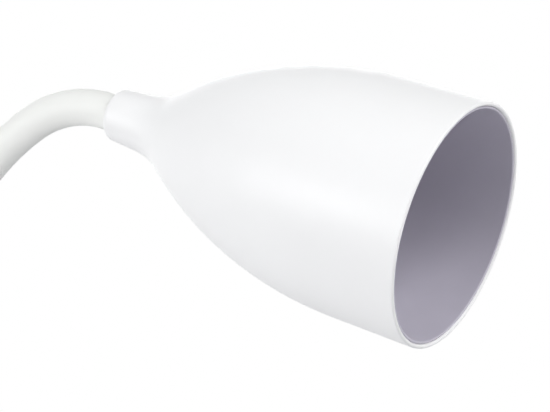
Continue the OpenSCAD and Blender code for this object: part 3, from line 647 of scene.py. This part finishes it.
class NeckLine:
    """The gooseneck's centreline at rest, as arcs that touch each other at the joints."""

    def __init__(self):
        self.joints = [Vector(JOINTS[name]["pos_m"]) for name in NECK_JOINTS]
        self.heading = [0.0]
        self.chord = []
        for a, b in zip(self.joints, self.joints[1:]):
            way = math.atan2(b.x - a.x, b.z - a.z)
            self.heading.append(2 * way - self.heading[-1])
            self.chord.append((b - a).length)

    def on_link(self, link, share):
        """Centre and heading at a share of a link, where link 0 follows the first joint."""
        h0 = self.heading[link]
        turn = self.heading[link + 1] - h0
        h = h0 + turn * share
        start = self.joints[link]
        if abs(turn) < STRAIGHT:
            return start + self.chord[link] * share * heading_way(h0), h
        bend = self.chord[link] / (2 * math.sin(turn / 2))
        return start + bend * Vector((math.cos(h0) - math.cos(h), 0, math.sin(h) - math.sin(h0))), h

    def piece(self, joint, before, after, rings):
        """Centres and headings from the middle of one link, or from before it, to the middle of the next."""
        half = np.linspace(0, 0.5, rings + 1).tolist()
        steps = list(before)
        if joint > 0:
            steps += [self.on_link(joint - 1, 0.5 + s) for s in half]
        if joint < len(self.joints) - 1:
            steps += [self.on_link(joint, s) for s in half[1 if joint > 0 else 0:]]
        return steps + after

    def tip(self, node, points):
        """Centres and headings past the last joint, as far as that node of the CAD reaches."""
        last = self.joints[-1]
        way = heading_way(self.heading[-1])
        reach = max((v.co - last).dot(way) for v in frame["nodes"][node].data.vertices)
        return straight(last, last + reach * way, self.heading[-1], points)[1:]


def neck_tubes(kind, line, before, after, outer, inner, rings, segments, finish):
    """One tube for each joint of the gooseneck, curved along its line."""
    made = []
    last = len(NECK_JOINTS) - 1
    for k, joint in enumerate(line.joints):
        steps = line.piece(k, before if k == 0 else [], after if k == last else [], rings)
        centres = np.array([c for c, h in steps])
        across = np.array([(math.cos(h), 0, -math.sin(h)) for c, h in steps])
        second = np.tile((0.0, 1.0, 0.0), (len(steps), 1))
        piece = tube(f"{kind}_{k + 1}", centres, across, second, outer, inner, segments, finish)
        radial_normals(piece, across, second, segments, inner > 0)
        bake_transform(piece)
        made.append(piece)
    return made


def cable_foot(line, neck):
    """Centres and headings of the cable up to the first joint: a level run, a bend and a rise."""
    first = line.joints[0]
    bend = neck.cable_bend
    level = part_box("neck_cable")[0].z + neck.cable_d / 2
    start = max(v.co.x for v in frame["nodes"]["neck_cable"].data.vertices if v.co.z < first.z / 2)
    run = straight(Vector((start, 0, level)), Vector((first.x + bend, 0, level)), -QUARTER, RUN_POINTS)
    turn = []
    for a in np.linspace(0, QUARTER, BEND_POINTS).tolist():
        centre = Vector((first.x + bend * (1 - math.sin(a)), 0, level + bend * (1 - math.cos(a))))
        turn.append((centre, a - QUARTER))
    rise = straight(turn[-1][0], first, 0.0, RISE_POINTS)
    return run[:-1] + turn[:-1] + rise[:-1]


def edge_group():
    """A modifier's nodes that join a CAD node's faces and shade them smooth up to an angle."""
    name = "moulded_edges"
    group = bpy.data.node_groups.get(name)
    if group:
        return group
    group = bpy.data.node_groups.new(name, "GeometryNodeTree")
    for way in ("INPUT", "OUTPUT"):
        group.interface.new_socket("Geometry", in_out=way, socket_type="NodeSocketGeometry")
    n = {key: group.nodes.new(kind) for key, kind in (
        ("start", "NodeGroupInput"), ("merge", "GeometryNodeMergeByDistance"),
        ("angle", "GeometryNodeInputMeshEdgeAngle"), ("test", "FunctionNodeCompare"),
        ("normal", "GeometryNodeSetMeshNormal"), ("end", "NodeGroupOutput"))}
    n["merge"].inputs["Distance"].default_value = MERGE
    n["test"].operation = "GREATER_THAN"
    n["test"].inputs[1].default_value = SHARP
    n["normal"].mode = "SHARPNESS"
    n["normal"].inputs["Remove Custom"].default_value = True
    group.links.new(n["start"].outputs[0], n["merge"].inputs["Geometry"])
    group.links.new(n["angle"].outputs["Unsigned Angle"], n["test"].inputs[0])
    group.links.new(n["merge"].outputs[0], n["normal"].inputs["Mesh"])
    group.links.new(n["test"].outputs[0], n["normal"].inputs["Edge Sharpness"])
    group.links.new(n["normal"].outputs[0], n["end"].inputs[0])
    return group


def round_edges(piece, radius):
    """Adds modifiers that join a CAD node's faces, merge its flats and round what is sharp."""
    joined = piece.modifiers.new("joined", "WELD")
    joined.merge_threshold = MERGE
    flats = piece.modifiers.new("flats", "DECIMATE")
    flats.decimate_type = "DISSOLVE"
    flats.angle_limit = FLAT
    rounded = piece.modifiers.new("rounded", "BEVEL")
    rounded.width = radius
    rounded.segments = ROUNDING_SEGMENTS
    rounded.limit_method = "ANGLE"
    rounded.angle_limit = SHARP


def dress(finish, *names, rounding=0.0):
    """Gives CAD nodes their finish, rounded edges where a radius is given, and smooth shading."""
    for name in names:
        piece = frame["nodes"][name]
        piece.data.materials.clear()
        piece.data.materials.append(finish)
        if rounding:
            round_edges(piece, rounding)
        piece.modifiers.new("moulded_edges", "NODES").node_group = edge_group()


class LAMP_OT_shade(bpy.types.Operator):
    """Turn the shade's outline into its smooth white skin"""

    bl_idname = "lamp.shade"
    bl_label = "Shade"

    def execute(self, context):
        lamp = context.scene.lamp
        curve = BulletCurve(lamp.shade)
        finish = satin_plastic("shade_white", lamp.colours.shade,
                               grain=0.9 * MM, depth=0.02 * MM, rough=0.42)
        piece = revolved("bullet_shade", curve.shade_outline(), curve.place(), finish)
        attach(piece, "head")
        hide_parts("shade")
        return {"FINISHED"}


class LAMP_OT_lining(bpy.types.Operator):
    """Turn the grey lining inside the shade"""

    bl_idname = "lamp.lining"
    bl_label = "Lining"

    def execute(self, context):
        lamp = context.scene.lamp
        curve = BulletCurve(lamp.shade)
        finish = painted_lining("reflector_grey", lamp.colours.lining)
        piece = revolved("shade_lining", curve.lining_outline(), curve.place(), finish)
        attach(piece, "head")
        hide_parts("reflector")
        return {"FINISHED"}


class LAMP_OT_light(bpy.types.Operator):
    """Finish the light: diffuser, spacer, board, emitter and heat sink"""

    bl_idname = "lamp.light"
    bl_label = "Light"

    def execute(self, context):
        c = context.scene.lamp.colours
        dress(satin_plastic("diffuser_opal", c.opal, grain=0.6 * MM, depth=0.01 * MM, rough=0.42),
              "diffuser")
        dress(satin_plastic("spacer_white", c.moulding, grain=0.5 * MM, depth=0.03 * MM, rough=0.5),
              "spacer_ring")
        dress(speckled("board_white", c.board, grain=0.6 * MM, rough=0.45, spot=0.9), "led_board")
        dress(speckled("emitter_yellow", c.emitter, grain=0.3 * MM, rough=0.4, spot=0.8), "led_emitter")
        dress(metal("bare_aluminium", c.aluminium, rough=0.48, grain=0.8 * MM, depth=0.05 * MM),
              "heat_sink")
        return {"FINISHED"}


class LAMP_OT_sleeve(bpy.types.Operator):
    """Sweep the gooseneck's smooth sleeve, one curved tube for each joint"""

    bl_idname = "lamp.sleeve"
    bl_label = "Sleeve"

    def execute(self, context):
        lamp = context.scene.lamp
        neck = lamp.neck
        line = NeckLine()
        first = line.joints[0]
        foot = Vector((first.x, 0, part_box("sleeve_foot")[0].z))
        before = straight(foot, first, 0.0, neck.rings)[:-1]
        after = line.tip("sleeve_head", neck.rings)
        finish = silicone("sleeve_white", lamp.colours.sleeve)
        outer = neck.sleeve_d / 2
        inner = outer - neck.sleeve_wall
        pieces = neck_tubes("sleeve_bend", line, before, after, outer, inner,
                            neck.rings, neck.segments, finish)
        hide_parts("sleeve_foot")
        for k, piece in enumerate(pieces[1:], 1):
            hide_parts(f"sleeve_{k}")
        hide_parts("sleeve_head")
        return {"FINISHED"}


class LAMP_OT_cable(bpy.types.Operator):
    """Sweep the cable that runs inside the gooseneck"""

    bl_idname = "lamp.cable"
    bl_label = "Cable"

    def execute(self, context):
        lamp = context.scene.lamp
        neck = lamp.neck
        line = NeckLine()
        before = cable_foot(line, neck)
        after = line.tip("neck_cable", RISE_POINTS)
        finish = rubber("cable_grey", lamp.colours.cable)
        pieces = neck_tubes("cable_bend", line, before, after, neck.cable_d / 2, 0,
                            neck.cable_rings, neck.cable_segments, finish)
        for piece in pieces:
            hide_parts("neck_cable")
        return {"FINISHED"}


class LAMP_OT_fittings(bpy.types.Operator):
    """Finish the gooseneck's spine, ferrules and nuts"""

    bl_idname = "lamp.fittings"
    bl_label = "Fittings"

    def execute(self, context):
        c = context.scene.lamp.colours
        spines = ["spine_foot"] + [f"spine_{k}" for k in range(1, len(NECK_JOINTS))] + ["spine_head"]
        dress(metal("spine_steel", c.spine, rough=0.45, grain=0.6 * MM, depth=0.06 * MM), *spines)
        dress(metal("plated_brass", c.brass, rough=0.3, grain=0.4 * MM, depth=0.02 * MM),
              "head_ferrule", "head_nut", "foot_ferrule", "foot_nut")
        return {"FINISHED"}


class LAMP_OT_clip(bpy.types.Operator):
    """Finish the clip's mouldings, pads and cord gland"""

    bl_idname = "lamp.clip"
    bl_label = "Clip"

    def execute(self, context):
        c = context.scene.lamp.colours
        edges = context.scene.lamp.edges
        dress(satin_plastic("moulding_white", c.moulding, grain=0.5 * MM, depth=0.03 * MM, rough=0.42),
              "top_shell", "bottom_shell", "lower_arm", rounding=edges.moulding)
        dress(rubber("pad_grey", c.pad), "upper_pad", "lower_pad", "cord_gland", rounding=edges.pad)
        return {"FINISHED"}


class LAMP_OT_spring(bpy.types.Operator):
    """Wind the torsion spring between the clip's two arms"""

    bl_idname = "lamp.spring"
    bl_label = "Spring"

    def execute(self, context):
        lamp = context.scene.lamp
        s = lamp.spring
        hinge = Vector(JOINTS["clip_open"]["pos_m"])
        start = s.leg_rise - QUARTER
        end = s.turns * FULL + QUARTER - s.leg_rise
        half = s.pitch * (end - start) / (2 * FULL)
        turn = np.linspace(start, end, s.turns * s.steps)
        spoke = np.stack([np.cos(turn), np.zeros_like(turn), np.sin(turn)], 1)
        coil = np.array(hinge) + s.coil_r * spoke
        coil[:, 1] += np.linspace(-half, half, len(turn))
        leg = np.linspace(1, 0, LEG_POINTS, endpoint=False)[:, None] * s.leg_len
        low = coil[0] - leg * np.array([math.cos(s.leg_rise), 0, math.sin(s.leg_rise)])
        high = (coil[-1] + leg * np.array([-math.cos(s.leg_rise), 0, math.sin(s.leg_rise)]))[::-1]
        path = np.concatenate([low, coil, high])
        across = np.concatenate([
            np.repeat(spoke[:1], len(low), 0), spoke, np.repeat(spoke[-1:], len(high), 0)])
        second = np.tile((0.0, 1.0, 0.0), (len(path), 1))
        finish = metal("spring_steel", lamp.colours.steel, rough=0.3, grain=0.3 * MM, depth=0.01 * MM)
        wire_r = s.wire_d / 2
        piece = tube("wound_spring", path, across, second, wire_r, 0, s.segments, finish)
        side = Vector((0, half - wire_r, 0))
        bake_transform(piece)
        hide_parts("torsion_spring")
        return {"FINISHED"}


class LAMP_OT_fasteners(bpy.types.Operator):
    """Finish the hinge pin, its retainer, the screws and the washers"""

    bl_idname = "lamp.fasteners"
    bl_label = "Fasteners"

    def execute(self, context):
        c = context.scene.lamp.colours
        edges = context.scene.lamp.edges
        finish = metal("steel", c.steel, rough=0.32, grain=0.4 * MM, depth=0.01 * MM)
        dress(finish, "hinge_pin", rounding=edges.pin)
        dress(finish, "pin_retainer", rounding=edges.retainer)
        dress(finish, "shell_screws", "board_screws", "head_washer", "foot_washer")
        return {"FINISHED"}


class LAMP_OT_switch(bpy.types.Operator):
    """Finish the push button, its plunger and the switch below it"""

    bl_idname = "lamp.switch"
    bl_label = "Switch"

    def execute(self, context):
        c = context.scene.lamp.colours
        button = tinted(c.moulding, 0.985)
        dress(satin_plastic("button_white", button, grain=0.4 * MM, depth=0.02 * MM, rough=0.34),
              "push_button")
        dress(satin_plastic("switch_black", c.switch, grain=0.5 * MM, depth=0.03 * MM, rough=0.5),
              "switch_plunger", "switch_body")
        return {"FINISHED"}


def add_camera(scene, s, mouth):
    """A level camera that looks past the mouth, with the view's middle aside of it and above it."""
    right = Vector((math.cos(s.azimuth), math.sin(s.azimuth), 0))
    back = Vector((math.sin(s.azimuth), -math.cos(s.azimuth), 0))
    up = Vector((0, 0, 1))
    data = bpy.data.cameras.new("camera")
    data.lens = s.focal
    data.sensor_width = s.sensor
    camera = bpy.data.objects.new("camera", data)
    camera.location = mouth - s.aside * right + s.above * up + s.distance * back
    camera.rotation_euler = back.to_track_quat("Z", "Y").to_euler()
    scene.collection.objects.link(camera)
    scene.camera = camera


def add_light(scene, name, power, size, at, towards):
    """A soft rectangular light that looks at a point."""
    data = bpy.data.lights.new(name, "AREA")
    data.energy = power
    data.shape = "RECTANGLE"
    data.size, data.size_y = size
    light = bpy.data.objects.new(name, data)
    light.location = at
    light.rotation_euler = (at - towards).to_track_quat("Z", "Y").to_euler()
    light.visible_camera = False
    scene.collection.objects.link(light)


def seen_directly(f):
    """1 for rays from the camera or a mirror, and 0 for the light that falls on things."""
    camera, glossy, through = (f.add("ShaderNodeLightPath", output=f"Is {kind} Ray")
                               for kind in ("Camera", "Glossy", "Transmission"))
    return f.spread(camera + glossy + through, 0, 1, 0, 1)


def add_world(scene, s, behind):
    """A white background, and soft light with more of it from behind the shade."""
    world = bpy.data.worlds.new("studio")
    world.use_nodes = True
    scene.world = world
    w = Finish("studio", world.node_tree)
    way = w.add("ShaderNodeTexCoord", output="Generated")
    side = w.add("ShaderNodeVectorMath", {"operation": "DOT_PRODUCT"}, {0: way, 1: behind}, output="Value")
    strength = s.ambient + s.dome * w.spread(side, -DOME_EDGE, DOME_EDGE, 0, 1)
    around = w.add("ShaderNodeBackground", None, {"Color": SKY, "Strength": strength})
    white = w.add("ShaderNodeBackground", None, {"Color": WHITE, "Strength": 1.0})
    shown = w.add("ShaderNodeMixShader", None, {0: seen_directly(w), 1: around, 2: white})
    w.add("ShaderNodeOutputWorld", None, {"Surface": shown})


def floor_finish(s):
    """A pale floor that fades to white far from the lamp."""
    f = Finish("pale_floor")
    far = f.add("ShaderNodeVectorMath", {"operation": "LENGTH"}, {0: f.place()}, output="Value")
    plain = f.add("ShaderNodeBsdfPrincipled", None, {
        "Base Color": f.varied(f.noise(50 * MM, detail=3), s.floor_colour, darkest=0.99, lightest=1),
        "Roughness": 0.8})
    glow = f.add("ShaderNodeEmission", None, {"Color": WHITE, "Strength": 1.0})
    edge = f.spread(far, FADE_START * s.floor_r, FADE_END * s.floor_r, 0, 1) * seen_directly(f)
    return f.output(f.add("ShaderNodeMixShader", None, {0: edge, 1: plain, 2: glow}))


def add_floor(s):
    """A round floor at the lowest point of the lamp."""
    level = cad_box[0].z
    rings = np.linspace(FLOOR_CORE, 1, FLOOR_RINGS) * s.floor_r
    turn = np.linspace(0, FULL, FLOOR_SEGMENTS, endpoint=False)
    points = [(r * math.cos(a), r * math.sin(a), level) for r in rings for a in turn]
    faces = [face[::-1] for face in ring_faces(FLOOR_RINGS, FLOOR_SEGMENTS, False)]
    faces.append(tuple(range(FLOOR_SEGMENTS)))
    floor = finished("floor", points, faces, floor_finish(s))


class LAMP_OT_stage(bpy.types.Operator):
    """Set up the camera, the soft light and the pale floor"""

    bl_idname = "lamp.stage"
    bl_label = "Stage"

    def execute(self, context):
        scene = context.scene
        shade = scene.lamp.shade
        s = scene.lamp.stage
        mouth = BulletCurve(shade).place().translation
        scene.view_settings.view_transform = "Standard"
        add_camera(scene, s, mouth)
        for name, (at, size) in LIGHTS.items():
            add_light(scene, name, getattr(s, name), size, mouth + Vector(at), mouth)
        add_world(scene, s, (-math.cos(shade.tilt), 0, math.sin(shade.tilt)))
        add_floor(s)
        return {"FINISHED"}


class LAMP_PT_panel(bpy.types.Panel):
    """The lamp's pieces and settings"""

    bl_idname = "LAMP_PT_panel"
    bl_label = "Clip-on lamp"
    bl_space_type = "VIEW_3D"
    bl_region_type = "UI"
    bl_category = "Lamp"

    def draw(self, context):
        lamp = context.scene.lamp
        for operator in OPERATORS:
            self.layout.operator(operator.bl_idname)
        for group in (lamp.shade, lamp.neck, lamp.spring, lamp.edges, lamp.colours, lamp.stage):
            box = self.layout.box()
            for name in group.__annotations__:
                box.prop(group, name)


OPERATORS = [
    LAMP_OT_stage, LAMP_OT_shade, LAMP_OT_lining, LAMP_OT_light, LAMP_OT_sleeve, LAMP_OT_cable,
    LAMP_OT_fittings, LAMP_OT_clip, LAMP_OT_spring, LAMP_OT_fasteners, LAMP_OT_switch,
]
CLASSES = [
    ShadeSizes, NeckSizes, SpringSizes, EdgeSizes, LampColours, StageSettings, LampSettings,
    *OPERATORS, LAMP_PT_panel,
]


def register():
    """Adds the lamp's classes and settings."""
    for kind in CLASSES:
        bpy.utils.register_class(kind)
    bpy.types.Scene.lamp = PointerProperty(type=LampSettings)


def unregister():
    """Takes the lamp's classes and settings away."""
    del bpy.types.Scene.lamp
    for kind in reversed(CLASSES):
        bpy.utils.unregister_class(kind)


def main():
    register()
    for operator in OPERATORS:
        getattr(bpy.ops.lamp, operator.bl_idname.split(".")[1])()


if __name__ == "__main__":
    main()
